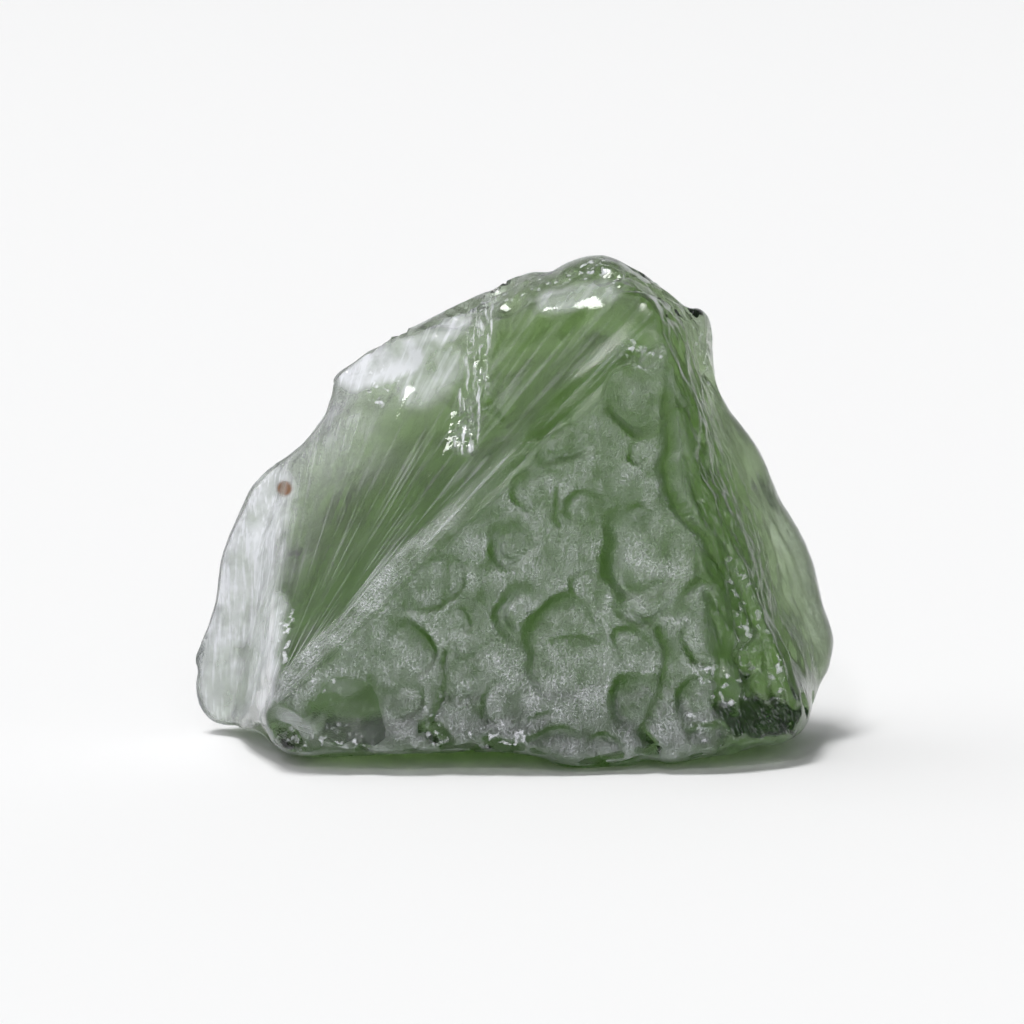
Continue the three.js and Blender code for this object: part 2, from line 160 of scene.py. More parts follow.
# Chips broken out of the front: the place on the drawing, the ball's radius and how deep it bites
CHIPS = [
    (-4.5, -5.6, 1.5, 0.3),
    (-6.0, -6.0, 1.2, 0.35),
    (6.89, -4.23, 0.85, 0.42),
    (7.12, -5.18, 0.95, 0.5),
    (5.88, -5.3, 0.5, 0.14),
    (-2.12, -6.2, 0.6, 0.22),
    (-0.35, -6.4, 0.7, 0.22),
    (1.3, 6.3, 0.9, 0.25),
    (0.1, 5.9, 0.7, 0.2),
    (2.6, 6.6, 0.6, 0.2),
    (-1.5, 5.5, 0.8, 0.16),
    (5.6, 3.4, 0.7, 0.2),
]

SCOOP_PLACES = 110
SCOOP_RADIUS = (0.9, 2.4)
SCOOP_BITE = 0.06
SCOOPS_BEHIND = -0.12
SCOOP_WAVES = [(1.3, 0.16, 1.1), (3.1, 0.09, 0.4), (6.3, 0.04, 2.0)]
GOLDEN_ANGLE = math.pi * (3 - math.sqrt(5))
GOLDEN_STEP = 0.618034

SWELLS = [
    ((0.9, 0.5, 0.3), 0.4, 0.07),
    ((-0.6, 1.1, 0.7), 2.1, 0.06),
    ((1.7, -1.3, 0.9), 4.0, 0.035),
    ((0.4, 1.9, -1.6), 1.2, 0.035),
]

# The streaks of the break fan out from one corner, about a compass direction: how many radians of wave to a
# radian of fan, the height to a mm of distance from the corner, and the wave's start
FAN_CORNER = (-7.03, -5.74)
FAN_MIDDLE = 27
FAN_HALF_SPREAD = 57
FAN_WAVES = [(31, 0.006, 0.0), (57, 0.003, 1.9), (97, 0.0015, 3.3)]

# How far one part of the surface may lie outside another while the point goes over from the one to the other
SKIN_BLEND = (-0.1, 0.1)
BREAK_BLEND = (-0.05, 0.1)
CHIP_BLEND = (-0.1, 0.02)
RIGHT_BLEND = (-0.15, 0.0)
FRONT_BLEND = (-0.2, 0.2)
RIM_ADVANTAGE = 0.05
# What is this little above the foot's plane is left flat
FOOT_SKIN = 0.02

# Fine relief of the skin: the size of the lumps or streaks across and up the drawing, and their height. The
# back has only a share of it.
SKIN_LUMPS = [(0.55, 0.6, 0.03), (0.24, 0.3, 0.014), (0.11, 0.8, 0.008)]
BACK_LUMPS_SHARE = 0.6
LUMPS_START = 7.3
# The skin's frost is thinner towards the top: between which heights it thins, and to what share
CLEAR_ABOVE = (-0.5, 4.0, 0.5)
# The frost on the strip beside the ridge, whose pale veil is partly painted sheen, the places between which it
# fades to the right, and how dull the strip still is there
STRIP_FROST_AND_SHEEN = 1.25
STRIP_FADES_RIGHT = (-4.5, 0.8)
STRIP_DULL_AT_RIGHT = 0.3
# The share of the frost that is worn off the right side, and off the rim above these heights
RIGHT_BARE = 0.85
TOP_RIM_BARE = 0.85
TOP_RIM_FROM = (3.5, 4.5)
# The ripples that run down the right side: their size across and along it, and their height. They fade in
# from the outline over these distances, and where the side is steepest they have only a share of their height.
RIPPLES = [(0.42, 1.7, 0.24), (0.17, 0.6, 0.1)]
RIPPLES_START = 5.7
RIPPLES_FADE_IN = (0.1, 1.0)
RIPPLES_LEVEL = (0.3, 0.65)
RIPPLES_ON_STEP = 0.6

# The chips near the foot are dulled: how much, and how far below the middle this starts and is full
LOW_CHIPS_DULLED = 0.5
LOW_CHIPS_BELOW = (4.0, 5.2)

# Small flat chips along the edges: how many, the range of their radii, how deep they bite as a share of the
# radius, how far they lean, how near the rim they are, and how far their surface may face away from the eye
EDGE_CHIPS = 300
EDGE_CHIP_RADIUS = (0.16, 0.6)
EDGE_CHIP_BITE = 0.1
EDGE_CHIP_TILT = 0.35
EDGE_WIDTH = 0.35
EDGE_CHIPS_FACE = -0.3
# The edge between these heights is worn smooth and has no chips
SMOOTH_EDGE_HEIGHTS = (-5.4, 3.4)
# A point that the chips push in this far has a fresh surface
FRESH_DEPTH = 0.03
# The rough band where the high and the low break meet: its path and half width, the size across and up and
# the height of its hackles, and the strength of its frost and its fibres, a veil that is partly painted sheen
HACKLE_BAND = [(-1.35, 2.0), (-1.05, 4.0), (-0.75, 5.9)]
HACKLE_HALF_WIDTH = 0.55
HACKLES = [(0.16, 0.5, 0.09), (0.09, 0.2, 0.04)]
HACKLES_START = 3.1
HACKLE_FROST_AND_SHEEN = 0.5
HACKLE_FIBRES_AND_SHEEN = 2.4

# How the fine streaks are stretched: by angle and distance in the fan, up the hackles, up the rest of the
# stone, and along the right side
FAN_STRETCH = (8, 0.035)
HACKLE_STRETCH = 0.22
UPRIGHT_STRETCH = [1, 0.12, 1]
SIDE_STRETCH = [1.5, 0.3, 1.5]

# Painted sheen, a pale veil in the thin glass along the left: how far in from the edge it fades, and its
# strength
SHEEN_REACH = (0.4, 3.2)
SHEEN_FADES_RIGHT = (-4.5, 0.0)
THIN_EDGE_SHEEN = 0.75
# Patches of painted sheen under the breaks: the strength, the half width and the places they run through
SHEEN_PATCHES = [
    (2.3, 0.8, [(-4.4, 3.9), (-2.9, 4.4)]),
    (1.6, 0.55, [(-2.9, 4.4), (-1.5, 5.4)]),
    (1.1, 0.9, [(-2.7, 3.5), (-1.9, 4.1)]),
    (1.9, 1.6, [(-7.9, -3.0), (-7.6, -1.2), (-7.1, 0.5)]),
    (1.2, 1.2, [(-8.3, -5.2), (-7.9, -3.0)]),
    (1.8, 0.3, [(-6.75, 0.4), (-7.05, -1.9)]),
    (1.7, 0.6, [(-6.7, -2.6), (-7.1, -5.2)]),
    (1.0, 0.5, [(1.0, 5.9), (2.6, 6.2)]),
    (0.5, 0.5, [(-5.6, -4.6), (-4.6, -4.8)]),
    # Painted light over the dark refraction in the chip near the foot
    (0.2, 1.2, [(-5.3, -5.9), (-4.0, -6.2)]),
    (1.0, 0.4, [(-6.4, -5.7), (-5.7, -6.1)]),
]
# The pale fibres: along the upper side of the ridge they reach this far and fade to the right between these
# places, and on the rest of the break and on the right side they have these strengths
RIDGE_LINE = [(-6.81, -5.52), (-3.78, -2.65), (-0.91, 0.38), (0.5, 1.5), (4.9, 5.2)]
FRAYED_TO = (0.5, 1.4)
FRAYED_FADES_RIGHT = (-1.6, 1.2)
BREAK_FRAYED = 0.36
SIDE_FRAYED = 0.4
# Painted glints, white patches for the glitter of crushed places: the strength, the half width and the places
# they run through. They fade out over the edge's width, and where the surface turns away from the eye.
PAINTED_GLINT_PATHS = [
    (1.0, 0.25, [(-4.3, 4.2), (-3.4, 3.7)]),
    (1.0, 0.10, [(-4.1, 4.8), (-3.75, 3.2)]),
    (1.0, 0.07, [(-6.35, -2.9), (-6.45, -4.0)]),
    (1.0, 0.25, [(2.1, 7.1), (2.6, 6.5)]),
    (0.8, 0.16, [(2.9, 6.7), (2.3, 6.0)]),
    (0.6, 0.25, [(-1.6, 5.7), (0.5, 6.5), (1.7, 6.9)]),
    (0.8, 0.15, [(3.3, 4.6), (3.6, 4.2), (4.0, 4.4)]),
    (0.8, 0.12, [(-5.3, -6.15), (-4.4, -6.4)]),
    (0.9, 0.14, [(-2.2, -5.4), (-2.0, -6.0), (-2.3, -6.7)]),
    (1.0, 0.22, [(-0.9, -6.2), (0.1, -6.3)]),
    (1.0, 0.30, [(5.4, -4.7), (6.1, -5.0)]),
    (0.8, 0.14, [(5.0, -5.5), (5.4, -6.2)]),
    (0.8, 0.10, [(6.4, -2.9), (6.6, -4.4)]),
    (0.9, 0.08, [(7.5, -3.8), (7.45, -4.6), (7.6, -5.3)]),
    (0.9, 0.12, [(-6.6, -6.3), (-5.2, -6.6), (-3.8, -6.6)]),
    (0.9, 0.12, [(-5.6, -4.7), (-5.0, -4.9)]),
    (0.45, 0.15, [(-1.1, 5.5), (-1.0, 4.2), (-0.9, 2.9)]),
    (0.5, 0.20, [(4.6, 5.6), (5.2, 4.8), (5.6, 3.4)]),
    (0.5, 0.30, [(6.3, -1.6), (7.2, -3.2), (8.2, -4.2)]),
]
PAINTED_GLINT_EDGE = 0.3
PAINTED_GLINTS_FACE = (0.2, 0.5)
# The brown speck at the top of the left shelf: its place on the drawing and its radius
SPECK = (-6.39, 0.66, 0.27)

# The noises of the glass: how many lumps to a metre, or to a unit of the stretched streaks
GRAIN = 20000
PATCHES = 1500
GLINTS = 5000
STREAKS = 9
FIBRES = 9
# The glass itself, and what makes it pale: the veil stands for frost, fibres, painted sheen and painted glints
IOR = 1.49
LEAST_ABSORBED = (0.385, 0.575, 0.13, 1)
ABSORPTION_DENSITY = 520
VEIL_COLOUR = (0.86, 0.875, 0.93, 1)
SPECK_COLOUR = (0.2, 0.075, 0.015, 1)
FULL_VEIL = 4
TRANSMISSION = (1.0, 0.2)
ROUGHNESS = (0.03, 0.42)
BUMP_HEIGHT = 0.02 * MM
BUMP_STRENGTH = (0.04, 0.7)

# The pale backdrop that the room's light comes from, and how bright it and the rest of the room are
BACKDROP_DIRECTION = (-0.2, 0.9, -0.45)
BACKDROP_FROM = 0.1
BACKDROP_TO = 0.8
BACKDROP_BRIGHTNESS = 0.9
ROOM_BRIGHTNESS = 0.1

# Each lamp: its name, azimuth (0 in front, 90 at the right), elevation, distance and size in metres, and its
# brightness
LAMPS = [
    ("key", -68, 74, 6.0, 2.0, 18.3),
    ("side", -100, 48, 6.0, 6.0, 0.9),
    ("front", 5, 30, 6.0, 3.0, 2.0),
    ("spark", -15, 35, 6.0, 0.4, 80),
]


def mix(a, b, share):
    return a + (b - a) * share


def smoothstep(value, low, high):
    share = np.clip((value - low) / (high - low), 0, 1)
    return share * share * (3 - 2 * share)


def smooth_max(a, b, width):
    near = np.maximum(width - np.abs(a - b), 0) / width
    return np.maximum(a, b) + near * near * width / 4


def outline_reach():
    """The outline's angle and distance from the heart, along a smooth curve through its points."""
    before, here = np.roll(OUTLINE, 1, 0), OUTLINE
    after, beyond = np.roll(OUTLINE, -1, 0), np.roll(OUTLINE, -2, 0)
    rows = []
    for step in range(STEPS_PER_POINT):
        t = step / STEPS_PER_POINT
        rows.append(
            0.5
            * (
                2 * here
                + (after - before) * t
                + (2 * before - 5 * here + 4 * after - beyond) * t**2
                + (3 * here - before - 3 * after + beyond) * t**3
            )
        )
    points = np.concatenate(rows) - HEART[:2]
    angle = np.arctan2(points[:, 1], points[:, 0])
    order = np.argsort(angle)
    return angle[order], np.hypot(points[:, 0], points[:, 1])[order]


OUTLINE_ANGLES, OUTLINE_REACHES = outline_reach()


def outside_facet(facet, x, y, depth, facing=1):
    across, slope, reach, at_depth = math.radians(facet[0]), math.radians(facet[1]), facet[2], facet[3]
    out = x * math.cos(across) + y * math.sin(across) - reach
    return out * math.sin(slope) + facing * (depth - at_depth) * math.cos(slope)


def waved(x, y, waves):
    """Places pushed about in waves, so that round shapes come out uneven."""
    for number, size, start in waves:
        x, y = x + size * np.sin(number * y + start), y + size * np.sin(number * x + 2 * start)
    return x, y


def distance_to_path(x, y, path):
    nearest = np.full(x.shape, np.inf)
    for (x0, y0), (x1, y1) in zip(path, path[1:]):
        along_x, along_y = x1 - x0, y1 - y0
        share = ((x - x0) * along_x + (y - y0) * along_y) / (along_x**2 + along_y**2)
        share = np.clip(share, 0, 1)
        nearest = np.minimum(nearest, np.hypot(x - x0 - share * along_x, y - y0 - share * along_y))
    return nearest


def skin_relief(x, y):
    """How deep the skin is hollowed at each place on the drawing, and how much of a hollow's edge it is.
    The edges carry painted shade, as the frost is left off them.
    """
    x, y = waved(x, y, CELL_WAVES)
    deep, edge = np.zeros_like(x), np.zeros_like(x)
    for at_x, at_y, half_width, half_height, depth, side in CELLS:
        across, up = (x - at_x) / half_width, (y - at_y) / half_height
        out = np.hypot(across, up)
        near = out < 1
        turn = 0.5 + 0.5 * np.cos(np.arctan2(up, across) - math.radians(side))
        strength = mix(CELL_SHALLOW_SIDE, 1, turn * turn)
        wall = min(max(depth * CELL_WALL_RUN / min(half_width, half_height), 0.1), 0.5)
        inside = 1 - smoothstep(out, 1 - wall, 1)
        band = smoothstep(out, 0.35, 1 - wall)
        middle = CELL_MIDDLE - CELL_DOME * (1 - out * out)
        deep = np.where(near, mix(deep, depth * mix(middle, 1, strength * band), inside), deep)
        rim = strength * smoothstep(out, 0.6, 0.85) * (1 - smoothstep(out, 0.96, 1.04))
        edge = np.where(near, mix(edge * (1 - inside), 1, rim), edge)
    for half_width, depth, path in GROOVES:
        inside = 1 - smoothstep(distance_to_path(x, y, path), 0, half_width)
        deep = np.maximum(deep, depth * inside)
        edge = np.maximum(edge, inside)
    return deep, edge


def swell(p):
    return sum(height * np.sin(p @ np.array(wave) + start) for wave, start, height in SWELLS)


def inside_outline(x, y):
    """How far each place on the drawing lies inside the outline."""
    dx, dy = x - HEART[0], y - HEART[1]
    reach = np.interp(np.arctan2(dy, dx), OUTLINE_ANGLES, OUTLINE_REACHES, period=2 * math.pi)
    return reach - np.hypot(dx, dy)


def outside_rim(x, y, depth):
    ahead = np.clip((RIM_FORWARD_FROM - y) / RIM_FORWARD_HEIGHT, 0, 1)
    ahead = ahead * smoothstep(x, *RIM_FORWARD_BESIDE)
    widest = RIM_DEPTH + RIM_FORWARD_AT_FOOT * ahead
    return RIM_BULGE * (depth - widest) ** 2 - inside_outline(x, y)


def drawn(p):
    """Where the eye sees each point on the drawing."""
    scale = EYE_DISTANCE / (EYE_DISTANCE - p[:, 2])
    return p[:, 0] * scale, p[:, 1] * scale


def fan_relief(x, y):
    """How deep the streaks of the break are: sharp crests that fan out from the corner."""
    dx, dy = x - FAN_CORNER[0], y - FAN_CORNER[1]
    angle, reach = np.arctan2(dy, dx), np.hypot(dx, dy)
    height = 0
    for number, rise, start in FAN_WAVES:
        bend = 0.25 * np.sin(0.9 * reach + start)
        height = height + rise * np.abs(np.sin(number * angle / 2 + start + bend))
    return height * reach


def outside_parts(p):
    """How far each point lies outside the skin, the breaks, the right side, the back and the rim."""
    x, y = drawn(p)
    depth = p[:, 2]
    skin = outside_facet(SKIN, x, y, depth) + skin_relief(x, y)[0]
    band = outside_facet(RIGHT_BAND, x, y, depth)
    high = smooth_max(outside_facet(HIGH_BREAK, x, y, depth), outside_facet(STEP, x, y, depth), SHARP_EDGE)
    low = outside_facet(LOW_BREAK, x, y, depth)
    broken = -smooth_max(-high, -low, STEP_EDGE)
    broken = smooth_max(broken, outside_facet(TOP_BEVEL, x, y, depth), STEP_EDGE)
    wall = outside_facet(LEFT_WALL, x, y, depth)
    left = -smooth_max(-wall, -outside_facet(LEFT_SHELF, x, y, depth), RIM_EDGE)
    broken = smooth_max(broken, left, STEP_EDGE)
    bevel = outside_facet(RIDGE_BEVEL, x, y, depth)
    strip = smoothstep(bevel - broken, -0.05, 0.05)
    broken = smooth_max(broken, bevel, SHARP_EDGE) + fan_relief(x, y)
    right = -smooth_max(
        -outside_facet(RIGHT_SIDE, x, y, depth), -outside_facet(RIGHT_FLANGE, x, y, depth), STEP_EDGE
    )
    back = outside_facet(BACKS[0], x, y, depth, -1)
    for facet in BACKS[1:]:
        back = smooth_max(back, outside_facet(facet, x, y, depth, -1), RIM_EDGE)
    return {
        "skin": smooth_max(skin, band, STEP_EDGE),
        "band": band,
        "broken": broken,
        "strip": strip,
        "lower_left": outside_facet(LOWER_LEFT_BEVEL, x, y, depth),
        "right": right,
        "back": back,
        "rim": outside_rim(x, y, depth),
    }


def outside_blank(p):
    """How far each point lies outside the stone before any scoop is taken from it."""
    parts = outside_parts(p)
    front = smooth_max(parts["skin"], parts["broken"], SHARP_EDGE)
    front = smooth_max(front, parts["lower_left"], SHARP_EDGE)
    front = smooth_max(front, parts["right"], STEP_EDGE)
    body = smooth_max(smooth_max(front, parts["back"], SHARP_EDGE), parts["rim"], RIM_EDGE)
    return body + swell(p)


def below_foot(p):
    lean = math.radians(EYE_HEIGHT_DEG)
    return -(p[:, 1] * math.cos(lean) + p[:, 2] * math.sin(lean)) - FOOT_DROP


def ray_ends(outside, starts, directions, farthest):
    """The points at which a shape ends along each ray."""
    low = np.zeros(len(directions))
    high = np.full(len(directions), float(farthest))
    for _ in range(HALVINGS):
        middle = (low + high) / 2
        inside = outside(starts + directions * middle[:, None]) < 0
        low = np.where(inside, middle, low)
        high = np.where(inside, high, middle)
    return starts + directions * ((low + high) / 2)[:, None]


def gradient(outside, points, step=0.05):
    """The direction in which each point leaves the shape fastest."""
    slopes = [outside(points + axis) - outside(points - axis) for axis in np.eye(3) * step]
    slopes = np.stack(slopes, 1)
    return slopes / np.linalg.norm(slopes, axis=1)[:, None]


def balls_at(points, radii, bites):
    centres = points + gradient(outside_blank, points) * (radii - bites)[:, None]
    return list(zip(centres, radii))


def front_chips():
    table = np.array(CHIPS, float)
    starts = np.column_stack([table[:, 0], table[:, 1], np.full(len(table), HEART[2] - 1)])
    forward = np.tile([0.0, 0.0, 1.0], (len(table), 1))
    return balls_at(ray_ends(outside_blank, starts, forward, FARTHEST), table[:, 2], table[:, 3])


def scattered_scoops():
    place = np.arange(SCOOP_PLACES)
    towards_eye = 1 - (2 * place + 1) / SCOOP_PLACES
    ring = np.sqrt(1 - towards_eye**2)
    turn = place * GOLDEN_ANGLE
    directions = np.column_stack([ring * np.cos(turn), ring * np.sin(turn), towards_eye]) * HALF_SIZE
    behind = towards_eye <= SCOOPS_BEHIND
    directions = (directions / np.linalg.norm(directions, axis=1)[:, None])[behind]
    share = (place[behind] * GOLDEN_STEP) % 1
    radii = mix(SCOOP_RADIUS[0], SCOOP_RADIUS[1], share * share)
    points = ray_ends(outside_blank, np.tile(HEART, (len(directions), 1)), directions, FARTHEST)
    return balls_at(points, radii, SCOOP_BITE * radii)


CHIP_BALLS = front_chips()
SCOOP_BALLS = scattered_scoops() + CHIP_BALLS


def inside_balls(p, balls):
    """How far each point lies inside the nearest of the balls."""
    deepest = np.full(len(p), -FARTHEST)
    for centre, radius in balls:
        deepest = np.maximum(deepest, radius - np.linalg.norm(p - centre, axis=1))
    return deepest


def scooped(p):
    """Points pushed about in waves, so that the scoops come out uneven."""
    x, y = waved(p[:, 0], p[:, 1], SCOOP_WAVES)
    return np.column_stack([x, y, p[:, 2]])


def outside_stone(p):
    outside = smooth_max(outside_blank(p), inside_balls(scooped(p), SCOOP_BALLS), SCOOP_EDGE)
    return np.maximum(outside, below_foot(p))


def ball_of_triangles(detail):
    """The vertices and faces of an icosahedron whose faces are split, pushed out to a ball."""
    t = (1 + math.sqrt(5)) / 2
    corners = np.array([
        [-1, t, 0], [1, t, 0], [-1, -t, 0], [1, -t, 0], [0, -1, t], [0, 1, t],
        [0, -1, -t], [0, 1, -t], [t, 0, -1], [t, 0, 1], [-t, 0, -1], [-t, 0, 1],
    ])
    faces = [
        (0, 11, 5), (0, 5, 1), (0, 1, 7), (0, 7, 10), (0, 10, 11), (1, 5, 9), (5, 11, 4), (11, 10, 2),
        (10, 7, 6), (7, 1, 8), (3, 9, 4), (3, 4, 2), (3, 2, 6), (3, 6, 8), (3, 8, 9), (4, 9, 5),
        (2, 4, 11), (6, 2, 10), (8, 6, 7), (9, 8, 1),
    ]
    size = detail + 1
    steps = [(i, j) for i in range(size + 1) for j in range(size + 1 - i)]
    index = {step: number for number, step in enumerate(steps)}
    cells = []
    for i, j in steps:
        if i + j < size:
            cells.append((index[i, j], index[i + 1, j], index[i, j + 1]))
        if i + j < size - 1:
            cells.append((index[i + 1, j], index[i + 1, j + 1], index[i, j + 1]))
    cells = np.array(cells)
    shares = np.array(steps) / size
    points, triangles = [], []
    for number, (a, b, c) in enumerate(faces):
        along, up = corners[b] - corners[a], corners[c] - corners[a]
        points.append(corners[a] + shares[:, :1] * along + shares[:, 1:] * up)
        triangles.append(cells + number * len(steps))
    points = np.concatenate(points)
    points /= np.linalg.norm(points, axis=1)[:, None]
    _, first, again = np.unique(np.round(points, 7), axis=0, return_index=True, return_inverse=True)
    return points[first], again.reshape(-1)[np.concatenate(triangles)]


def stood_up(points, shift=(0, 0, 0)):
    """Points of the drawing frame in mm, in the part's frame in metres."""
    lean = math.radians(EYE_HEIGHT_DEG)
    x, y, depth = points[..., 0], points[..., 1], points[..., 2]
    turned = np.stack([
        x,
        y * math.sin(lean) - depth * math.cos(lean),
        y * math.cos(lean) + depth * math.sin(lean),
    ], -1)
    return (turned + np.array(shift)) * MM


def stretched_noise(points, size_across, size_up, start):
    """Smooth noise from -1 to 1 with lumps of one size across the drawing and another up it."""
    scale = np.array([1 / size_across, 1 / size_up, 1 / size_across])
    return np.array([noise.noise(Vector(place)) for place in points * scale + start])


def edge_chips(points, normals, sites):
    """How far small flat chips push each point in. A plane just under the surface cuts each one."""
    pushed = np.zeros(len(points))
    for number, site in enumerate(sites):
        share = (number * GOLDEN_STEP) % 1
        radius = mix(EDGE_CHIP_RADIUS[0], EDGE_CHIP_RADIUS[1], share**2)
        turn = number * GOLDEN_ANGLE
        tilt = np.array([math.cos(turn), math.sin(turn), math.cos(2 * turn)]) * EDGE_CHIP_TILT
        facing = normals[site] + tilt
        facing /= np.linalg.norm(facing)
        offset = points - points[site]
        near = np.flatnonzero(np.einsum("ij,ij->i", offset, offset) < radius**2)
        above = offset[near] @ facing + EDGE_CHIP_BITE * radius
        along = np.maximum(normals[near] @ facing, 0.4)
        pushed[near] = np.maximum(pushed[near], above / along)
    return pushed


def survey(points):
    """Where each point of the surface is, and how much it belongs to each part of the stone."""
    parts = outside_parts(points)
    at = SimpleNamespace(points=points, parts=parts, normals=gradient(outside_stone, points))
    at.x, at.y = drawn(points)
    at.inwards = inside_outline(at.x, at.y)
    at.in_front = at.normals[:, 2] > 0
    at.standing = below_foot(points) > -FOOT_SKIN
    at.broken = np.maximum(parts["broken"], parts["lower_left"])
    sides = np.maximum.reduce([parts["skin"], parts["right"], parts["back"]])
    at.rest = np.maximum(sides, parts["rim"] - RIM_ADVANTAGE)
    at.on_break = smoothstep(at.broken - at.rest, *BREAK_BLEND)
    at.chipped = smoothstep(inside_balls(scooped(points), CHIP_BALLS) - outside_blank(points), *CHIP_BLEND)
    at.skin = smoothstep(at.rest - at.broken, *SKIN_BLEND) * (1 - at.chipped)
    on_rim = smoothstep(parts["rim"] - sides, *SKIN_BLEND)
    at.skin = at.skin * (1 - TOP_RIM_BARE * on_rim * smoothstep(at.y, *TOP_RIM_FROM))
    from_hackles = distance_to_path(at.x, at.y, HACKLE_BAND)
    hackles = 1 - smoothstep(from_hackles, 0.3 * HACKLE_HALF_WIDTH, HACKLE_HALF_WIDTH)
    at.hackles = hackles * (at.broken > at.rest)
    on_right = smoothstep(np.maximum(parts["band"], parts["right"]) - parts["skin"], *RIGHT_BLEND)
    at.on_right = on_right * at.in_front * (1 - np.clip(at.broken - at.rest, 0, 0.1) * 10)
    return at


def along_right_side(at):
    """Each point's place across the right side, along it and in depth."""
    turn = math.radians(RIGHT_BAND[0])
    across = at.x * math.cos(turn) + at.y * math.sin(turn)
    along = at.y * math.cos(turn) - at.x * math.sin(turn)
    return np.column_stack([across, along, at.points[:, 2]])


def relief(at):
    """How far the fine relief moves each point outwards, and how much of a small fresh chip each point is."""
    lumps = 0
    for number, (across, up, height) in enumerate(SKIN_LUMPS):
        lumps = lumps + height * stretched_noise(at.points, across, up, LUMPS_START * number)
    shares = at.skin * np.where(at.parts["back"] > at.parts["skin"], BACK_LUMPS_SHARE, 1)
    near_edge = at.parts["rim"] + swell(at.points) > -EDGE_WIDTH
    near_edge &= (at.normals[:, 2] > EDGE_CHIPS_FACE) & ~at.standing
    near_edge &= (at.y < SMOOTH_EDGE_HEIGHTS[0]) | (at.y > SMOOTH_EDGE_HEIGHTS[1])
    sites = np.flatnonzero(near_edge)
    pushed = edge_chips(at.points, at.normals, sites[:: len(sites) // EDGE_CHIPS])
    fresh = smoothstep(pushed, 0, FRESH_DEPTH)
    for number, (across, up, height) in enumerate(HACKLES):
        hackle = np.abs(stretched_noise(at.points, across, up, HACKLES_START * number))
        pushed = pushed + at.hackles * height * hackle
    along_side = along_right_side(at)
    inside = smoothstep(at.inwards, *RIPPLES_FADE_IN)
    level = smoothstep(at.normals[:, 2], *RIPPLES_LEVEL)
    for number, (across, along, height) in enumerate(RIPPLES):
        ripple = height * stretched_noise(along_side, across, along, RIPPLES_START * number)
        pushed = pushed + at.on_right * ripple * inside * mix(RIPPLES_ON_STEP, 1, level)
    return np.where(at.standing, 0, lumps * shares * (1 - fresh) - pushed), fresh


def skin_and_frost(at, fresh):
    """How dull the surface is, and how much frost it carries. The edges of the cells and the grooves are bare
    of frost, which paints shade in them.
    """
    shaded_cell_edge = skin_relief(at.x, at.y)[1]
    behind = np.maximum(at.parts["broken"], at.parts["back"])
    on_front = smoothstep(at.parts["skin"] - behind, *FRONT_BLEND)
    fading = 1 - smoothstep(at.x, *STRIP_FADES_RIGHT)
    on_strip = at.parts["strip"] * at.on_break * (at.parts["broken"] > at.parts["lower_left"])
    clearing = mix(1, CLEAR_ABOVE[2], smoothstep(at.y, *CLEAR_ABOVE[:2]) * on_front)
    on_side = 1 - RIGHT_BARE * at.on_right
    skin = at.skin * (1 - fresh)
    # Painted shade: the frost is taken off the edges of the cells and the grooves
    frost = skin * clearing * (1 - shaded_cell_edge * on_front) * on_side
    # On the strip and the hackle band the frost is partly painted sheen
    frost = np.maximum.reduce([frost, STRIP_FROST_AND_SHEEN * on_strip * fading, HACKLE_FROST_AND_SHEEN * at.hackles])
    skin = np.maximum(skin, on_strip * mix(STRIP_DULL_AT_RIGHT, 1, fading)) * on_side
    dulled = LOW_CHIPS_DULLED * at.chipped * smoothstep(-at.y, *LOW_CHIPS_BELOW)
    return np.maximum(skin, dulled), frost


# Painted sheen: a pale veil where the thin glass and the breaks would catch the light
def painted_sheen_in_glass(at):
    thin = (1 - smoothstep(at.inwards, *SHEEN_REACH)) * (1 - smoothstep(at.x, *SHEEN_FADES_RIGHT))
    painted_sheen = THIN_EDGE_SHEEN * thin * (1 - at.chipped)
    for strength, half_width, path in SHEEN_PATCHES:
        away = distance_to_path(at.x, at.y, path)
        painted_sheen = np.maximum(painted_sheen, strength * (1 - smoothstep(away, 0.3 * half_width, half_width)))
    return painted_sheen * np.maximum(at.on_break, at.chipped) * at.in_front


def fibres(at):
    on_break = at.on_break * at.in_front
    near_ridge = 1 - smoothstep(distance_to_path(at.x, at.y, RIDGE_LINE), *FRAYED_TO)
    near_ridge = near_ridge * on_break * (1 - smoothstep(at.x, *FRAYED_FADES_RIGHT))
    return np.maximum.reduce([
        near_ridge, BREAK_FRAYED * on_break, SIDE_FRAYED * at.on_right, HACKLE_FIBRES_AND_SHEEN * at.hackles
    ])


# Painted glints: white patches where crushed places would glitter in the light
def painted_glints(at):
    glint_paint = np.zeros(len(at.points))
    for strength, half_width, path in PAINTED_GLINT_PATHS:
        away = distance_to_path(at.x, at.y, path)
        glint_paint = np.maximum(glint_paint, strength * (1 - smoothstep(away, half_width, half_width + PAINTED_GLINT_EDGE)))
    return glint_paint * smoothstep(at.normals[:, 2], *PAINTED_GLINTS_FACE)


def surface_layers(at, fresh):
    """The strength of each surface layer at each point."""
    skin, frost = skin_and_frost(at, fresh)
    from_speck = np.hypot(at.x - SPECK[0], at.y - SPECK[1])
    return {
        "skin": skin,
        "frost": frost,
        "painted_sheen": painted_sheen_in_glass(at),
        "frayed": fibres(at),
        "glint_paint": painted_glints(at),
        "speck": (1 - smoothstep(from_speck, 0.6 * SPECK[2], SPECK[2])) * at.in_front,
    }


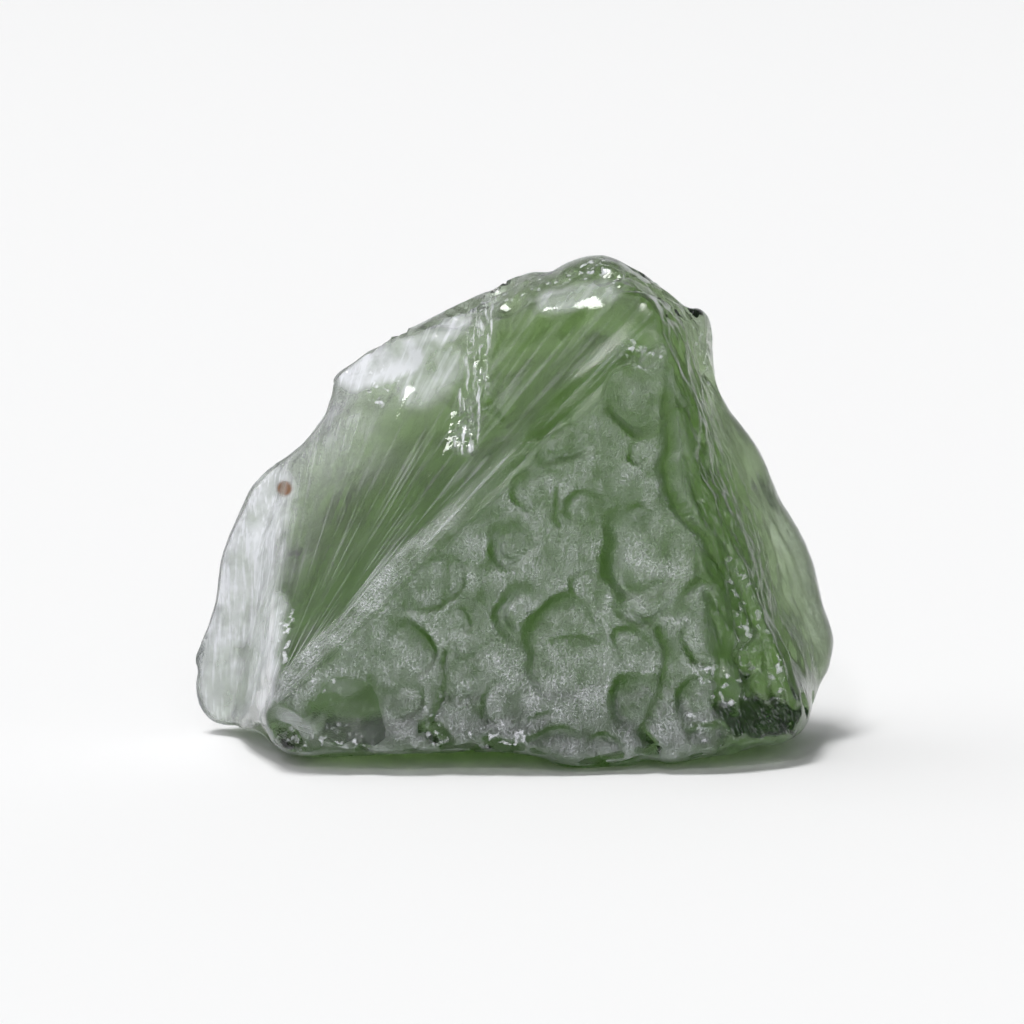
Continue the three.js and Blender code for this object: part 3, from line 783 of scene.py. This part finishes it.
def streak_places(at, points):
    """Each point's place in coordinates that are stretched the way the fine streaks run there."""
    dx, dy = at.x - FAN_CORNER[0], at.y - FAN_CORNER[1]
    angle = np.arctan2(dy, dx)
    from_middle = np.abs(angle - math.radians(FAN_MIDDLE))
    in_fan = (at.broken > at.rest) & (from_middle < math.radians(FAN_HALF_SPREAD))
    fanned = np.column_stack([angle * FAN_STRETCH[0], np.hypot(dx, dy) * FAN_STRETCH[1], 0 * at.x])
    hackled = np.column_stack([at.x, at.y * HACKLE_STRETCH, 0 * at.x])
    streaks = np.where(in_fan[:, None], fanned, points * UPRIGHT_STRETCH)
    streaks = np.where(at.hackles[:, None] > 0.3, hackled, streaks)
    return np.where(at.on_right[:, None] > 0.5, along_right_side(at) * SIDE_STRETCH, streaks)


def make_stone():
    directions, faces = ball_of_triangles(MESH_DETAIL)
    directions = (directions + [0, 0, MORE_IN_FRONT]) * HALF_SIZE
    directions /= np.linalg.norm(directions, axis=1)[:, None]
    at = survey(ray_ends(outside_stone, np.tile(HEART, (len(directions), 1)), directions, FARTHEST))
    moved, fresh = relief(at)
    points = at.points + at.normals * moved[:, None]

    placed = stood_up(points) / MM
    low, high = placed.min(0), placed.max(0)
    shift = np.array([-(low[0] + high[0]) / 2, -(low[1] + high[1]) / 2, -low[2]])
    mesh = bpy.data.meshes.new("moldavite_glass")
    mesh.from_pydata(stood_up(points, shift).tolist(), [], faces.tolist())
    for name, values in surface_layers(at, fresh).items():
        mesh.attributes.new(name, "FLOAT", "POINT").data.foreach_set("value", values.astype(np.float32))
    vectors = mesh.attributes.new("streaks", "FLOAT_VECTOR", "POINT").data
    vectors.foreach_set("vector", streak_places(at, points).astype(np.float32).ravel())
    mesh.shade_smooth()
    mesh.update()
    stone = bpy.data.objects.new("moldavite_glass", mesh)
    bpy.context.scene.collection.objects.link(stone)
    return stone, shift


def glass_material():
    material = bpy.data.materials.new("moldavite_glass")
    material.use_nodes = True
    nodes, links = material.node_tree.nodes, material.node_tree.links
    shader = nodes["Principled BSDF"]
    output = nodes["Material Output"]
    coordinates = nodes.new("ShaderNodeTexCoord")

    def attribute(name, output_name="Fac"):
        node = nodes.new("ShaderNodeAttribute")
        node.attribute_name = name
        return node.outputs[output_name]

    def noise_of(vector, scale, detail=2):
        node = nodes.new("ShaderNodeTexNoise")
        node.inputs["Scale"].default_value = scale
        node.inputs["Detail"].default_value = detail
        links.new(vector, node.inputs["Vector"])
        return node.outputs["Fac"]

    def blend(share, to_low, to_high, from_low=0, from_high=1):
        node = nodes.new("ShaderNodeMapRange")
        node.inputs["From Min"].default_value = from_low
        node.inputs["From Max"].default_value = from_high
        node.inputs["To Min"].default_value = to_low
        node.inputs["To Max"].default_value = to_high
        links.new(share, node.inputs["Value"])
        return node.outputs["Result"]

    def combined(a, b, operation="MULTIPLY"):
        node = nodes.new("ShaderNodeMath")
        node.operation = operation
        for value, socket in zip((a, b), node.inputs):
            if isinstance(value, (int, float)):
                socket.default_value = value
            else:
                links.new(value, socket)
        return node.outputs["Value"]

    place = coordinates.outputs["Object"]
    stretched = attribute("streaks", "Vector")
    skin = attribute("skin")
    grain = blend(noise_of(place, GRAIN, 2), 0, 1, 0.3, 0.7)
    streak = blend(noise_of(stretched, STREAKS, 3), 0, 1, 0.3, 0.7)
    patches = blend(noise_of(place, PATCHES, 4), 0, 1, 0.3, 0.7)
    fibre = blend(noise_of(stretched, FIBRES, 5), 0, 1, 0.5, 0.75)
    # The pattern of the painted glints
    glints = blend(noise_of(place, GLINTS, 5), 0, FULL_VEIL, 0.53, 0.66)

    mottle = combined(combined(blend(patches, 0.2, 1.6), blend(grain, 0.1, 2.0)), blend(streak, 0.75, 1.25))
    brown = attribute("speck")
    veil = combined(attribute("frost"), mottle)
    veil = combined(veil, combined(attribute("frayed"), combined(fibre, 2.8)), "MAXIMUM")
    # Painted sheen in the glass and painted glints, as pale veil
    sheen_pattern = combined(blend(patches, 1.0, 2.6), blend(fibre, 0.8, 1.6))
    veil = combined(veil, combined(attribute("painted_sheen"), sheen_pattern), "MAXIMUM")
    veil = combined(veil, combined(attribute("glint_paint"), glints), "MAXIMUM")
    veil = combined(veil, combined(brown, FULL_VEIL), "MAXIMUM")
    colour = nodes.new("ShaderNodeValToRGB")
    colour.color_ramp.elements[0].color = VEIL_COLOUR
    colour.color_ramp.elements[1].color = SPECK_COLOUR
    links.new(brown, colour.inputs["Fac"])

    bump = nodes.new("ShaderNodeBump")
    bump.inputs["Distance"].default_value = BUMP_HEIGHT
    links.new(blend(skin, *BUMP_STRENGTH), bump.inputs["Strength"])
    links.new(combined(grain, streak, "ADD"), bump.inputs["Height"])

    shader.inputs["IOR"].default_value = IOR
    links.new(blend(skin, *ROUGHNESS), shader.inputs["Roughness"])
    links.new(colour.outputs["Color"], shader.inputs["Base Color"])
    links.new(blend(veil, *TRANSMISSION, 0, FULL_VEIL), shader.inputs["Transmission Weight"])
    links.new(bump.outputs["Normal"], shader.inputs["Normal"])
    absorption = nodes.new("ShaderNodeVolumeAbsorption")
    absorption.inputs["Color"].default_value = LEAST_ABSORBED
    absorption.inputs["Density"].default_value = ABSORPTION_DENSITY
    links.new(absorption.outputs["Volume"], output.inputs["Volume"])
    return material


def make_camera(shift):
    data = bpy.data.cameras.new("camera")
    data.sensor_width = SENSOR_MM
    data.lens = SENSOR_MM * EYE_DISTANCE / VIEW_WIDTH
    data.clip_start = 0.01
    data.clip_end = 10
    camera = bpy.data.objects.new("camera", data)
    bpy.context.scene.collection.objects.link(camera)
    eye = stood_up(np.array([0, 0, EYE_DISTANCE]), shift)
    middle = stood_up(np.array([0.0, 0.0, 0.0]), shift)
    camera.location = eye
    camera.rotation_euler = Vector(middle - eye).to_track_quat("-Z", "Y").to_euler()
    bpy.context.scene.camera = camera


def make_floor():
    bpy.ops.mesh.primitive_plane_add(size=8, location=(0, 0, 0))
    floor = bpy.context.object
    floor.name = "floor"
    material = bpy.data.materials.new("floor")
    material.use_nodes = True
    shader = material.node_tree.nodes["Principled BSDF"]
    shader.inputs["Base Color"].default_value = (0.9, 0.9, 0.9, 1)
    shader.inputs["Roughness"].default_value = 1
    shader.inputs["Specular IOR Level"].default_value = 0
    floor.data.materials.append(material)


def make_lamp(name, azimuth, elevation, distance, size, brightness):
    """A square lamp that faces the stone from an azimuth (0 in front, 90 at the right) and an elevation."""
    data = bpy.data.lights.new(name, "AREA")
    data.shape = "SQUARE"
    data.size = size
    data.energy = brightness * math.pi * size**2
    lamp = bpy.data.objects.new(name, data)
    turn, up = math.radians(azimuth), math.radians(elevation)
    place = Vector((math.sin(turn) * math.cos(up), -math.cos(turn) * math.cos(up), math.sin(up))) * distance
    lamp.location = place
    lamp.rotation_euler = (-place).to_track_quat("-Z", "Y").to_euler()
    bpy.context.scene.collection.objects.link(lamp)


def make_light():
    scene = bpy.context.scene
    scene.view_settings.view_transform = "Standard"
    scene.cycles.use_denoising = True
    world = bpy.data.worlds.new("studio")
    scene.world = world
    world.use_nodes = True
    nodes, links = world.node_tree.nodes, world.node_tree.links
    direction = nodes.new("ShaderNodeTexCoord")
    towards = nodes.new("ShaderNodeVectorMath")
    towards.operation = "DOT_PRODUCT"
    towards.inputs[1].default_value = BACKDROP_DIRECTION
    links.new(direction.outputs["Generated"], towards.inputs[0])
    rise = nodes.new("ShaderNodeMapRange")
    rise.interpolation_type = "SMOOTHSTEP"
    rise.inputs["From Min"].default_value = BACKDROP_FROM
    rise.inputs["From Max"].default_value = BACKDROP_TO
    rise.inputs["To Min"].default_value = ROOM_BRIGHTNESS
    rise.inputs["To Max"].default_value = BACKDROP_BRIGHTNESS
    links.new(towards.outputs["Value"], rise.inputs["Value"])
    background = nodes["Background"]
    background.inputs["Color"].default_value = (0.97, 0.98, 1.0, 1)
    links.new(rise.outputs["Result"], background.inputs["Strength"])
    for lamp in LAMPS:
        make_lamp(*lamp)


stone, shift = make_stone()
stone.data.materials.append(glass_material())
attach(stone, "root")
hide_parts("moldavite")
make_camera(shift)
make_floor()
make_light()
